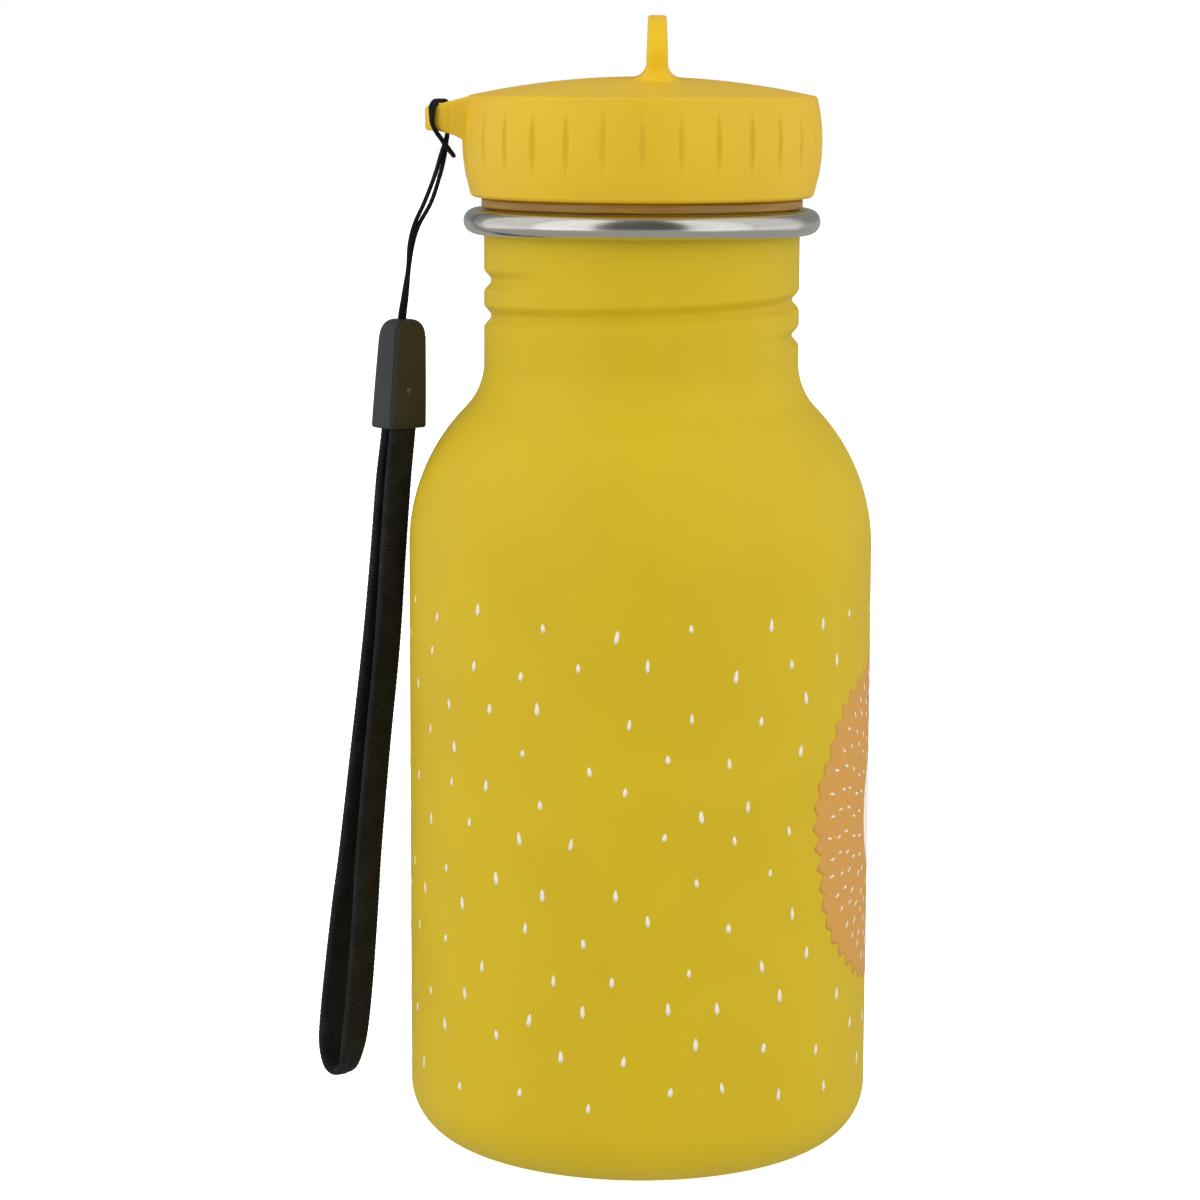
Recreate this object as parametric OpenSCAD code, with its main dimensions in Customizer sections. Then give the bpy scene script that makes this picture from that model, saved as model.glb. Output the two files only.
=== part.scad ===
// Kids water bottle: single-wall steel bottle, screw cap with a hollow plug, and a wrist strap.
// Millimetres. Origin at the centre of the base ring, +Z up. The cap's strap lug points to -X.

/* [Body] */
// Outer diameter of the straight body
body_d = 66; // [62:0.5:67]
// Height at which the shoulder starts
shoulder_z = 86; // [80:1:88]
// Radius of the shoulder's outward curve
shoulder_r = 28; // [22:0.1:28.5]
// Thickness of the steel wall
wall = 0.5; // [0.4:0.05:0.7]
// Radius of the rounded edge at the base
base_r = 7.9; // [6:0.1:9]
// Height of the recess under the base
recess_h = 2.2; // [1:0.1:3]

/* [Neck] */
// Outer diameter of the neck
neck_d = 44.6; // [44.4:0.1:45]
// Height at which the shoulder ends and the straight neck starts
neck_z = 112.2; // [110:0.1:112.8]
// Rise of the pressed thread in one turn
pitch = 5; // [4.5:0.1:5.5]
// Depth of the pressed thread
thread_depth = 1; // [0.6:0.05:1.1]
// Turn over which the pressed thread runs, in degrees
thread_sweep = 645; // [450:5:660]

/* [Rim and seal] */
// Height of the middle of the rolled rim
rim_z = 132.05; // [131.8:0.05:132.1]
// Outer diameter of the rolled rim
rim_d = 50.4; // [49.8:0.1:50.5]
// Height of the rolled rim
rim_h = 3.6; // [3.5:0.1:3.7]
// Outer diameter of the seal ring
seal_d = 45.4; // [44.6:0.1:45.8]

/* [Cap] */
// Largest diameter of the cap
cap_d = 50.6; // [49.8:0.1:51.6]
// Height of the cap's lower edge
cap_z = 135.4; // [135.2:0.1:136]
// Height of the cap's upper edge
cap_edge_z = 149; // [148.5:0.1:149.5]
// Height of the top of the cap's dome
dome_z = 152.2; // [151.5:0.1:153]
// Number of places round the cap for grip flutes
flute_places = 30; // [24:2:36]
// Depth of a grip flute
flute_depth = 0.4; // [0.3:0.05:0.6]
// Height of the top of the crest
crest_z = 160.7; // [157:0.1:164]
// Width of the crest
crest_w = 20; // [14:0.5:26]
// Thickness of the crest
crest_t = 2.8; // [2.4:0.1:3.4]

/* [Strap lug] */
// Distance from the bottle's axis to the strap hole
lug_x = 27.4; // [27:0.1:28]
// Radius of the strap hole
lug_hole_r = 1.55; // [1.4:0.05:1.7]
// Radius of the lug's round end
lug_r = 3.15; // [3:0.05:3.2]

/* [Strap] */
// Diameter of the doubled lanyard cord
cord_d = 1.4; // [1.2:0.05:1.5]
// Width of the wrist webbing
webbing_w = 4.9; // [4.5:0.1:5]
// Thickness of the wrist webbing
webbing_t = 1.3; // [1.1:0.05:1.4]
// Width of the strap sleeve
sleeve_w = 7.6; // [7.2:0.1:7.8]
// Thickness of the strap sleeve
sleeve_t = 4.2; // [3.9:0.05:4.3]
// Height of the strap sleeve
sleeve_h = 15.5; // [14.8:0.1:16]

/* [Hidden] */
$fn = 64;
ARC = 12;                                   // steps along a round stretch of an outline

steel = "#D8D4CA";
body_paint = "#C8AC21";
cap_yellow = "#E0B62A";
amber = "#A07820";
black = "#141412";

// Body and neck, all as radii
body_r = body_d / 2;
neck_r = neck_d / 2;
bore_r = neck_r - wall;
shoulder_drop = body_r - neck_r;
shoulder_rise = neck_z - shoulder_z;
// The two shoulder arcs touch where the sum of their radii bridges the drop and the rise
neck_fillet = (pow(shoulder_drop, 2) + pow(shoulder_rise, 2)) / (2 * shoulder_drop) - shoulder_r;
shoulder_turn = atan2(shoulder_rise, neck_r + neck_fillet - body_r + shoulder_r);
foot_r = body_r - base_r;
foot_w = 1.6;

// Pressed thread: a rounded groove outside and the same form standing inside
thread_z = 116.15;                          // height of the thread's middle at the +X side
thread_lead = 45;                           // angle by which the thread starts before the +X side
thread_half = 1.65;
thread_fade = 40;
male_sweep = 540;
male_tip_r = bore_r - 0.55;

// Rim
rim_round = rim_h / 2;
rim_mid = rim_d / 2 - rim_round;

// Seal
seal_low = rim_z + rim_round + 0.1;
seal_in = 20.7;

// Cap
cap_r = cap_d / 2;
barrel_r = 25;                              // radius of the cap side's bulge, seen from the side
barrel_z = 143.2;
cap_wall = 2.2;
cavity_r = 22.6;
plug_r = 20.4;
plug_wall = 1.6;
plug_low = 110.5;
flange_h = 2;
edge_round = 0.8;

// Crest and lug
crest_x = 2;
crest_taper = 0.2;
lug_flare = 5;

// The strap sleeve stands at its lower middle, leans and is turned about its length
sleeve_at = [-34.5, 0, 102.6];
sleeve_lean = 2.6;
sleeve_turn = 50;
twist_x = -34;                              // the vertical line that the sleeve turns about
cavity_h = 10;
webbing_end = 4.4;                          // how far the webbing goes up into the sleeve

// Routes of the cords, from end to end
LANYARD_ROUTE = [[-27.8, 0, 141.1], [-28.8, 0, 138.5], [-30.2, 0, 134.6], [-31.8, 0, 131.4],
                 [-32.6, 0, 128.6], [-33, 0, 125.2], [-33.5, 0, 121.4], [-34, 0, 117.4], [-34, 0, 112]];
// Loop of the hitch in its own upright plane: distance from the hole's axis, and height
HITCH_ROUTE = [[0, 143.7], [0, 145.5], [0, 147.3], [0.2, 148.5], [0.9, 149.1], [2.2, 149.1],
               [3.2, 148.8], [3.7, 147.9], [3.7, 146.2], [3.6, 144.6], [2.6, 143.8], [0.9, 143.7]];
hitch_d = 0.8;
hitch_turn = -122;                          // direction of the hitch's plane
WEBBING_ROUTE = [[-33.7, -0.5, 107], [-33.9, -0.5, 102.6], [-34.6, -0.6, 95], [-35.4, -0.6, 84],
                 [-36.3, -0.6, 71], [-37.8, -0.6, 56], [-39.1, -0.8, 41], [-39.6, -1, 33],
                 [-40.4, -1.2, 22], [-41.1, -1.3, 15], [-41.7, -1.3, 11], [-42.4, -0.9, 8.7],
                 [-43.5, 0, 7.95],
                 [-44.6, 0.9, 8.7], [-45, 1.3, 11], [-44.8, 1.3, 15], [-44.1, 1.2, 22],
                 [-42.8, 1, 33], [-41.7, 0.9, 41], [-39.9, 0.6, 56], [-38.15, 0.6, 71],
                 [-36.9, 0.6, 84], [-36, 0.6, 95], [-35.1, 0.5, 102.6], [-34.9, 0.5, 107]];

function arc(centre, r, from, to, steps = ARC) =
    [for (i = [0:steps]) let (a = from + (to - from) * i / steps) centre + r * [cos(a), sin(a)]];
function unit(v) = v / norm(v);
function reversed(list) = [for (i = [len(list) - 1:-1:0]) list[i]];

// Outline of the shell's wall at an offset inward, from the foot up to the neck
function shell_side(inward) = concat(
    arc([foot_r, base_r], base_r - inward, -90, 0),
    arc([body_r - shoulder_r, shoulder_z], shoulder_r - inward, 0, shoulder_turn),
    arc([neck_r + neck_fillet, neck_z], neck_fillet + inward, 180 + shoulder_turn, 180));

// Height of a thread form at a place across it, from 0 at its edges to 1 in the middle
function crown(across) = (1 + cos(180 * across)) / 2;
// Share of the full depth at an angle along a thread, which fades in and out at its ends
function fade(a, sweep) = max(0, min(1, a / thread_fade, (sweep - a) / thread_fade));

// A closed band wound up the Z axis. Each section along it is a list of [radius, height] points
module wound(sections, sweep, start_z) {
    n = len(sections[0]);
    m = len(sections);
    points = [for (i = [0:m - 1]) let (a = sweep * i / (m - 1)) for (p = sections[i])
              [p[0] * cos(a), p[0] * sin(a), start_z + pitch * a / 360 + p[1]]];
    sides = [for (i = [0:m - 2], j = [0:n - 1]) let (k = (j + 1) % n)
             each [[i * n + j, (i + 1) * n + j, (i + 1) * n + k], [i * n + j, (i + 1) * n + k, i * n + k]]];
    polyhedron(points, concat(sides, [[for (j = [0:n - 1]) j], [for (j = [n - 1:-1:0]) (m - 1) * n + j]]));
}

// A tube of elliptic section along a route that lies in one plane, whose normal is across
module swept(route, across, half_w, half_t, sides = 8) {
    m = len(route);
    points = [for (i = [0:m - 1])
        let (along = unit(route[min(i + 1, m - 1)] - route[max(i - 1, 0)]), out = unit(cross(along, across)))
        for (j = [0:sides - 1]) let (a = 360 * (j + 0.5) / sides)
        route[i] + (across * half_w * cos(a) + out * half_t * sin(a)) / cos(180 / sides)];
    faces = [for (i = [0:m - 2], j = [0:sides - 1]) let (k = (j + 1) % sides)
        each [[i * sides + j, (i + 1) * sides + j, (i + 1) * sides + k],
              [i * sides + j, (i + 1) * sides + k, i * sides + k]]];
    polyhedron(points, concat(faces, [[for (j = [0:sides - 1]) j],
                                      [for (j = [sides - 1:-1:0]) (m - 1) * sides + j]]));
}

// Depth of the pressed thread at a place on the neck: 0 on the plain neck, 1 in the middle of the thread
function pressed(angle, z, half) = max([for (turn = [-1:ceil(thread_sweep / 360) - 1])
    let (a = angle + 360 * turn, across = (z - thread_z - pitch * a / 360) / half)
    abs(across) < 1 ? crown(across) * fade(a + thread_lead, thread_sweep) : 0]);

module bottle_shell() {
    color(body_paint) rotate_extrude() polygon(concat(shell_side(0), reversed(shell_side(wall))));
}

// One sheet of wall pressed into a thread: a groove outside and the same form standing inside
module threaded_neck() {
    across = 48;
    rows = 34;
    function level(j) = neck_z + (rim_z - neck_z) * j / rows;
    function place(i, j, r, half) =
        let (a = 360 * i / across, depth = thread_depth * pressed(a, level(j), half))
        [(r - depth) * cos(a), (r - depth) * sin(a), level(j)];
    points = concat([for (j = [0:rows], i = [0:across - 1]) place(i, j, neck_r, thread_half)],
                    [for (j = [0:rows], i = [0:across - 1]) place(i, j, bore_r, thread_half + wall / 2)]);
    inner = (rows + 1) * across;
    function quad(a, b, c, d) = [[a, b, c], [a, c, d]];
    walls = [for (j = [0:rows - 1], i = [0:across - 1])
        let (p = j * across + i, q = j * across + (i + 1) % across)
        each concat(quad(p, p + across, q + across, q),
                    quad(inner + p, inner + q, inner + q + across, inner + p + across))];
    ends = [for (i = [0:across - 1]) let (k = (i + 1) % across, top = rows * across)
        each concat(quad(i, k, inner + k, inner + i),
                    quad(top + i, inner + top + i, inner + top + k, top + k))];
    color(body_paint) polyhedron(points, concat(walls, ends));
}

module base_disc() {
    foot_in = foot_r - foot_w;
    recess_r = foot_in - recess_h;
    color(steel) rotate_extrude() polygon([[0, recess_h], [recess_r, recess_h], [foot_in, 0], [foot_r, 0],
        [foot_r, wall], [foot_in + wall / 2, wall], [recess_r + wall / 2, recess_h + wall],
        [0, recess_h + wall]]);
}

module rolled_rim() {
    mid = [rim_mid, rim_z];
    function meets(r) = acos(min(1, (rim_mid - r) / rim_round));
    outline = concat(arc(mid, rim_round, 0, 180 - meets(bore_r), 2 * ARC),
                     [[bore_r, rim_z], [neck_r, rim_z]],
                     arc(mid, rim_round, 180 + meets(neck_r), 360, ARC));
    color(steel) rotate_extrude() polygon(outline);
}

module seal_ring() {
    seal_r = seal_d / 2;
    seal_h = cap_z - 0.05 - seal_low;
    bulge = seal_h / 2;
    color(amber) rotate_extrude() polygon(concat([[seal_in, seal_low]],
        arc([seal_r - bulge, seal_low + bulge], bulge, -90, 90), [[seal_in, seal_low + seal_h]]));
}

// Half section of the cap cover
function cover_outline() =
    let (bulge_at = [cap_r - barrel_r, barrel_z],
         low = asin((cap_z + edge_round - barrel_z) / barrel_r),
         high = asin((cap_edge_z - barrel_z) / barrel_r),
         low_r = bulge_at[0] + barrel_r * cos(low), high_r = bulge_at[0] + barrel_r * cos(high),
         brow_r = high_r - edge_round,
         brow_z = cap_edge_z + edge_round * 0.8,
         dome_h = dome_z - brow_z,
         dome_r = (brow_r * brow_r + dome_h * dome_h) / (2 * dome_h))
    concat([[cavity_r, cap_z]],
           arc([low_r - edge_round, cap_z + edge_round], edge_round, -90, 0, 4),
           arc(bulge_at, barrel_r, low, high),
           [for (p = arc([brow_r, 0], edge_round, 18, 72, 3)) [p[0], cap_edge_z + 0.8 * p[1]]],
           arc([0, dome_z - dome_r], dome_r, 90 - asin(brow_r / dome_r), 90),
           [[0, dome_z - cap_wall], [cavity_r, cap_edge_z - cap_wall + 0.6]]);

// Outline of a plate that stands on the dome with round fillets at its foot, and runs down to low
function footed(half, top, base, low) = let (foot = 2, z = base + foot + 0.8) concat(
    [[half + foot, low]], arc([half + foot, z], foot, 270, 180, 6), top,
    arc([-half - foot, z], foot, 0, -90, 6), [[-half - foot, low]]);

// Plain rounded crest: a plate with filleted feet, cut to a rounded outline
module crest() {
    base = dome_z - 1.2;
    half_high = (crest_t - crest_taper) / 2;
    crown_h = 6.2;
    intersection() {
        translate([crest_x, crest_w, 0]) rotate([90, 0, 0]) linear_extrude(2 * crest_w)
            polygon(footed((crest_t + crest_taper) / 2,
                [[half_high, crest_z], [-half_high, crest_z]], base, base));
        translate([crest_x - 5, 0, 0]) rotate([90, 0, 90]) linear_extrude(10)
            polygon(footed(crest_w / 2, [for (a = [0:9:180])
                [crest_w / 2 * cos(a), crest_z - crown_h + crown_h * sin(a)]], base, base - 1));
    }
}

// Lug in plan and from the side, without its hole
module lug() {
    root_x = cap_r - 3;
    tangent = 20;
    intersection() {
        translate([0, 0, 140]) linear_extrude(12) {
            translate([-lug_x, 0]) circle(lug_r);
            polygon([[-lug_x - lug_r * sin(tangent), lug_r * cos(tangent)],
                     [-lug_x - lug_r * sin(tangent), -lug_r * cos(tangent)],
                     [-root_x - 1.5, -lug_flare + 0.6], [-root_x, -lug_flare], [-root_x, lug_flare],
                     [-root_x - 1.5, lug_flare - 0.6]]);
        }
        translate([0, 10, 0]) rotate([90, 0, 0]) linear_extrude(20)
            polygon([[-root_x + 1, 149.2], [-root_x - 2, 149.1], [-lug_x, 148.6], [-lug_x - 1.6, 148.2],
                     [-lug_x - 4, 147.8], [-lug_x - 4, 144.6], [-lug_x - 1, 144.6], [-lug_x + 1.2, 143.9],
                     [-root_x - 2, 142.9], [-root_x + 1, 142]]);
    }
}

module cap_cover() {
    step = 360 / flute_places;
    flute_r = 0.7;
    color(cap_yellow) difference() {
        union() {
            rotate_extrude() polygon(cover_outline());
            crest();
            difference() {
                lug();
                translate([0, 0, 130]) cylinder(r = cavity_r + 1, h = 30);
            }
        }
        for (i = [0:flute_places - 1]) let (a = i * step + 90)
            if (abs(a % 360 - 180) > 1.2 * step)
                rotate([0, 0, a]) translate([cap_r + flute_r - flute_depth, 0, 138.1])
                    cylinder(r = flute_r, h = 9.5);
        translate([-lug_x, 0, 140]) cylinder(r = lug_hole_r, h = 15);
    }
}

// Hollow plug with its flange under the cover and a thread half a pitch below the neck's
module threaded_plug() {
    steps = male_sweep / 10;
    color(cap_yellow) union() {
        rotate_extrude() polygon([[0, plug_low], [plug_r - 0.8, plug_low], [plug_r, plug_low + 0.8],
            [plug_r, cap_z], [cavity_r, cap_z], [cavity_r, cap_z + flange_h],
            [plug_r - plug_wall, cap_z + flange_h], [plug_r - plug_wall, plug_low + plug_wall],
            [0, plug_low + plug_wall]]);
        wound([for (i = [0:steps])
            let (low = plug_r - 0.15, tip = low + (male_tip_r - low) * fade(10 * i, male_sweep))
            [[plug_r - 0.5, 1.4], [low, 1.4], [tip, 0.6], [tip, -0.6], [low, -1.4], [plug_r - 0.5, -1.4]]],
            male_sweep, thread_z - pitch / 2);
    }
}

// Loop of the lanyard cord through the lug's hole and round its web
module cord_hitch() {
    aim = [cos(hitch_turn), sin(hitch_turn), 0];
    route = [for (p = HITCH_ROUTE) [-lug_x, 0, p[1]] + p[0] * aim];
    color(black) swept(route, cross([0, 0, 1], aim), hitch_d / 2, hitch_d / 2);
}

module lanyard_cord() {
    color(black) swept(LANYARD_ROUTE, [0, 1, 0], cord_d / 2, cord_d / 2);
}

// Stopper knot on the end of the lanyard cord, inside the sleeve
module cord_knot() {
    color(black) translate([twist_x, 0, 110.8]) rotate_extrude()
        polygon([[0, -1.2], [0.8, -1.2], [1.25, -0.6], [1.25, 0.6], [0.8, 1.2], [0, 1.2]]);
}

// Puts a piece in the sleeve's own frame: X across its width, Y through it, Z up its length
module in_sleeve() {
    translate(sleeve_at) rotate([0, sleeve_lean, 0]) rotate([0, 0, sleeve_turn]) children();
}

module strap_sleeve() {
    corner = 2.3;
    half_w = sleeve_w / 2;
    half_t = sleeve_t / 2;
    color(black) difference() {
        in_sleeve() difference() {
            intersection() {
                translate([0, half_t + 1, 0]) rotate([90, 0, 0]) linear_extrude(sleeve_t + 2)
                    polygon(concat([[-half_w + 0.4, 0], [half_w - 0.4, 0], [half_w, 0.4]],
                                   arc([half_w - 0.6 - corner, sleeve_h - corner], corner, 0, 90, 6),
                                   arc([-half_w + 0.6 + corner, sleeve_h - corner], corner, 90, 180, 6),
                                   [[-half_w, 0.4]]));
                translate([-half_w - 1, 0, 0]) rotate([90, 0, 90]) linear_extrude(sleeve_w + 2)
                    polygon(concat([[-half_t + 0.3, 0], [half_t - 0.3, 0], [half_t, 0.3]],
                                   arc([half_t - 1.6, sleeve_h - 1.4], 1.4, 0, 90, 5),
                                   arc([-half_t + 1.6, sleeve_h - 1.4], 1.4, 90, 180, 5), [[-half_t, 0.3]]));
            }
            translate([-webbing_w / 2 - 0.2, -1.6, -1]) cube([webbing_w + 0.4, 3.2, cavity_h + 1]);
        }
        translate([twist_x, 0, 109]) cylinder(r = 0.95, h = 12);
    }
}

// Metal clip that holds the webbing's two ends
module webbing_crimp() {
    half_w = webbing_w / 2 - 0.2;
    color(steel) in_sleeve() translate([-half_w, -1.35, webbing_end + 0.1]) cube([2 * half_w, 2.7, 2.2]);
}

module wrist_webbing() {
    flat = [cos(sleeve_turn), sin(sleeve_turn), 0];
    squash = cos(22.5);
    color(black) swept(WEBBING_ROUTE, flat, webbing_w / 2 * squash, webbing_t / 2 * squash);
}

bottle_shell();
threaded_neck();
base_disc();
rolled_rim();
seal_ring();
cap_cover();
threaded_plug();
cord_hitch();
lanyard_cord();
cord_knot();
strap_sleeve();
webbing_crimp();
wrist_webbing();
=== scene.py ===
import bmesh
import bpy
import math
import numpy as np
import random
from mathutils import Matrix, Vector


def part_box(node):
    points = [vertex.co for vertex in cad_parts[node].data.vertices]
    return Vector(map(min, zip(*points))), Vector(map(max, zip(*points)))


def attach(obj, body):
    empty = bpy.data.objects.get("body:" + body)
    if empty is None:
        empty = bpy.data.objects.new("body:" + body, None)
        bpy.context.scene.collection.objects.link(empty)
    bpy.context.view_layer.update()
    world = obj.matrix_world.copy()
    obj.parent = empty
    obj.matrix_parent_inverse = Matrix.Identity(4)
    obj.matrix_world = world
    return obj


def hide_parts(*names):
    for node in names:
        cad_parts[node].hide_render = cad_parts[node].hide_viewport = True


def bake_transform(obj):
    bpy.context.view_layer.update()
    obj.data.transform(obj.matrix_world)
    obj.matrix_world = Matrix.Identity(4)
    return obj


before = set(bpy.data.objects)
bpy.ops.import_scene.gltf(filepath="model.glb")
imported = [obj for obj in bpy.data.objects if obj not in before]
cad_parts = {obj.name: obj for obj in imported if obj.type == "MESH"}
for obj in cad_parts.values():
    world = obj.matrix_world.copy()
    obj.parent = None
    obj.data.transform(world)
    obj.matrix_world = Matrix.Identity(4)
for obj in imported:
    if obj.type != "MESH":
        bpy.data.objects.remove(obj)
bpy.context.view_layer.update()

MM = 0.001                                  # lengths are in millimetres until this turns them into metres
TAU = 2 * math.pi


# ---------------------------------------------------------------- the frame's own sizes
def box_mm(node):
    """A CAD node's lowest and highest corners, in millimetres."""
    low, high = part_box(node)
    return Vector(low) / MM, Vector(high) / MM


BODY_R = box_mm("bottle_shell")[1].x
NECK_Z = box_mm("bottle_shell")[1].z
NECK_R = box_mm("threaded_neck")[1].x
RIM_Z = box_mm("threaded_neck")[1].z
RIM_R = box_mm("rolled_rim")[1].x
RIM_LOW = box_mm("rolled_rim")[0].z
RIM_HIGH = box_mm("rolled_rim")[1].z
SEAL_R = box_mm("seal_ring")[1].x
CAP_LOW = box_mm("cap_cover")[0].z
CAP_R = box_mm("cap_cover")[1].x
CREST_TOP = box_mm("cap_cover")[1].z
PLUG_LOW = box_mm("threaded_plug")[0].z
RECESS_TOP = box_mm("base_disc")[1].z

# The same driving sizes as the design
WALL = 0.5
BASE_R = 7.9
SHOULDER_Z = 86.0
SHOULDER_R = 28.0
PITCH = 5.0
THREAD_DEPTH = 1.0
THREAD_SWEEP = 645.0
THREAD_LEAD = 45.0
THREAD_HALF = 1.65
THREAD_Z = 116.15
THREAD_FADE = 40.0
CAP_EDGE_Z = 149.0
DOME_Z = 152.2
CAVITY_R = 22.6
PLUG_R = 20.4
SEAL_IN = 20.7
LUG_X = 27.4
LUG_HOLE_R = 1.55
LUG_R = 3.15
CREST_X = 2.0
SLEEVE_AT = Vector((-34.5, 0, 102.6))
SLEEVE_LEAN = math.radians(2.6)
SLEEVE_TURN = math.radians(50)
SLEEVE_W = 7.6
SLEEVE_T = 4.2
SLEEVE_H = 15.5
WEBBING_W = 4.9
WEBBING_T = 1.3
CORD_D = 0.62

# The cords' routes, as in the design
# The pair of thin strands: their middle, the direction of one from the middle in degrees, and half their gap
PAIR_ROUTE = [((-34, 0, 112), 5, 0.32), ((-34, 0, 117.4), 12, 0.32), ((-33.5, 0, 121.4), 50, 0.32),
              ((-33, 0, 125.2), 82, 0.32), ((-32.6, 0, 128.6), 50, 0.32), ((-31.8, 0, 131.4), 20, 0.34),
              ((-30.2, 0, 134.6), 0, 0.47), ((-28.8, 0, 138.5), 5, 0.35), ((-28.1, -0.05, 141.1), 35, 0.32),
              ((-27.75, -0.1, 142.6), 70, 0.32), ((-27.45, 0, 144.1), 90, 0.32),
              ((-27.4, -0.1, 146.3), 100, 0.32), ((-27.45, -0.3, 147.9), 120, 0.32),
              ((-27.85, -0.85, 148.67), 145, 0.32), ((-28.46, -1.6, 148.74), 147, 0.32),
              ((-28.9, -2.35, 148.64), 147, 0.32), ((-29.3, -2.93, 148.0), 140, 0.32),
              ((-29.42, -3.13, 146.9), 115, 0.32), ((-29.37, -3.18, 145.6), 95, 0.32),
              ((-28.85, -3.17, 144.5), 90, 0.32), ((-28.25, -1.8, 143.53), 90, 0.48),
              ((-27.6, -0.15, 142.45), 90, 0.85), ((-27.1, -0.05, 141.75), 90, 0.72),
              ((-26.75, 0, 141.3), 90, 0.42)]
BIGHT_TIP = (-26.55, 0, 141.05)
WEBBING_ROUTE = [(-33.7, -0.5, 107), (-33.9, -0.5, 102.6), (-34.6, -0.6, 95), (-35.4, -0.6, 84),
                 (-36.3, -0.6, 71), (-37.8, -0.6, 56), (-39.1, -0.8, 41), (-39.6, -1, 33),
                 (-40.4, -1.2, 22), (-41.1, -1.3, 15), (-41.7, -1.3, 11), (-42.4, -0.9, 8.7),
                 (-43.5, 0, 7.95),
                 (-44.6, 0.9, 8.7), (-45, 1.3, 11), (-44.8, 1.3, 15), (-44.1, 1.2, 22),
                 (-42.8, 1, 33), (-41.7, 0.9, 41), (-39.9, 0.6, 56), (-38.15, 0.6, 71),
                 (-36.9, 0.6, 84), (-36, 0.6, 95), (-35.1, 0.5, 102.6), (-34.9, 0.5, 107)]


# ---------------------------------------------------------------- camera
def make_camera():
    """A portrait lens half a metre in front of the bottle, a little above it."""
    data = bpy.data.cameras.new("camera")
    data.sensor_width = 36
    data.lens = 105.77
    data.clip_start = 0.02
    data.clip_end = 20
    camera = bpy.data.objects.new("camera", data)
    bpy.context.scene.collection.objects.link(camera)
    camera.location = (0, -0.5, 0.1552)
    camera.rotation_euler = (math.radians(90 - 8.794), math.radians(-0.2), math.radians(0.687))
    bpy.context.scene.camera = camera


make_camera()


# ---------------------------------------------------------------- mesh tools
def mesh_object(name, points, faces, smooth=True, weld=None):
    """A mesh object from points in millimetres, with its doubles welded and its normals outward."""
    mesh = bpy.data.meshes.new(name)
    mesh.from_pydata([tuple(MM * float(c) for c in p) for p in points], [], faces)
    work = bmesh.new()
    work.from_mesh(mesh)
    if weld:
        bmesh.ops.remove_doubles(work, verts=work.verts, dist=weld * MM)
    bmesh.ops.recalc_face_normals(work, faces=work.faces)
    work.to_mesh(mesh)
    work.free()
    mesh.polygons.foreach_set("use_smooth", [smooth] * len(mesh.polygons))
    mesh.update()
    made = bpy.data.objects.new(name, mesh)
    bpy.context.scene.collection.objects.link(made)
    return made


def grid_faces(rows, columns, wrap_rows=False, wrap_columns=True):
    """Quads over a grid of points laid out row by row."""
    faces = []
    for i in range(rows if wrap_rows else rows - 1):
        above = (i + 1) % rows
        for j in range(columns if wrap_columns else columns - 1):
            k = (j + 1) % columns
            faces.append((i * columns + j, i * columns + k, above * columns + k, above * columns + j))
    return faces


def turned(name, outline, angles, radius=None):
    """A solid of revolution of a closed outline of (radius, height).

    radius(r, z, angle, row) may reshape it.
    """
    outline = np.array(outline, float)
    a = np.array(angles, float)
    r = np.repeat(outline[:, :1], len(a), axis=1)
    z = np.repeat(outline[:, 1:], len(a), axis=1)
    if radius is not None:
        r = radius(r, z, np.repeat(a[None, :], len(outline), axis=0))
    points = np.stack([r * np.cos(a), r * np.sin(a), z], axis=-1).reshape(-1, 3)
    return mesh_object(name, points, grid_faces(len(outline), len(a), wrap_rows=True), weld=1e-4)


def even_angles(count):
    return [TAU * i / count for i in range(count)]


def arc(centre, r, start, end, steps):
    """Points round a circle from one angle to another, in degrees."""
    angles = [math.radians(start + (end - start) * i / steps) for i in range(steps + 1)]
    return [(centre[0] + r * math.cos(a), centre[1] + r * math.sin(a)) for a in angles]


def line(start, end, steps):
    """Points along a straight line, without its two ends."""
    return [(start[0] + (end[0] - start[0]) * i / steps, start[1] + (end[1] - start[1]) * i / steps)
            for i in range(1, steps)]


def eased(outline, r, steps=4):
    """A closed outline with each corner rounded to radius r, or less where its sides are short."""
    out = []
    for i, p in enumerate(outline):
        p = Vector(p)
        back = Vector(outline[i - 1]) - p
        on = Vector(outline[(i + 1) % len(outline)]) - p
        if back.length < 1e-9 or on.length < 1e-9:
            continue
        turn = math.pi - back.angle(on)
        if turn < 0.15:
            out.append(tuple(p))
            continue
        cut = min(r * math.tan(turn / 2), 0.45 * back.length, 0.45 * on.length)
        start, end = p + back.normalized() * cut, p + on.normalized() * cut
        for k in range(steps + 1):
            t = k / steps
            out.append(tuple(start * (1 - t) ** 2 + p * 2 * t * (1 - t) + end * t * t))
    return out


def smooth_route(route, step):
    """A Catmull-Rom curve through a route's points, resampled at an even step."""
    p = [Vector(q) for q in route]
    p = [p[0] * 2 - p[1]] + p + [p[-1] * 2 - p[-2]]
    fine = []
    for i in range(1, len(p) - 2):
        for k in range(24):
            t = k / 24
            fine.append(0.5 * (2 * p[i] + (p[i + 1] - p[i - 1]) * t
                               + (2 * p[i - 1] - 5 * p[i] + 4 * p[i + 1] - p[i + 2]) * t * t
                               + (3 * p[i] - p[i - 1] - 3 * p[i + 1] + p[i + 2]) * t ** 3))
    fine.append(p[-2])
    fine = np.array(fine, float)
    along = np.concatenate([[0], np.cumsum(np.linalg.norm(np.diff(fine, axis=0), axis=1))])
    at = np.linspace(0, along[-1], max(2, round(along[-1] / step)) + 1)
    return np.stack([np.interp(at, along, fine[:, k]) for k in range(3)], axis=1)


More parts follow.
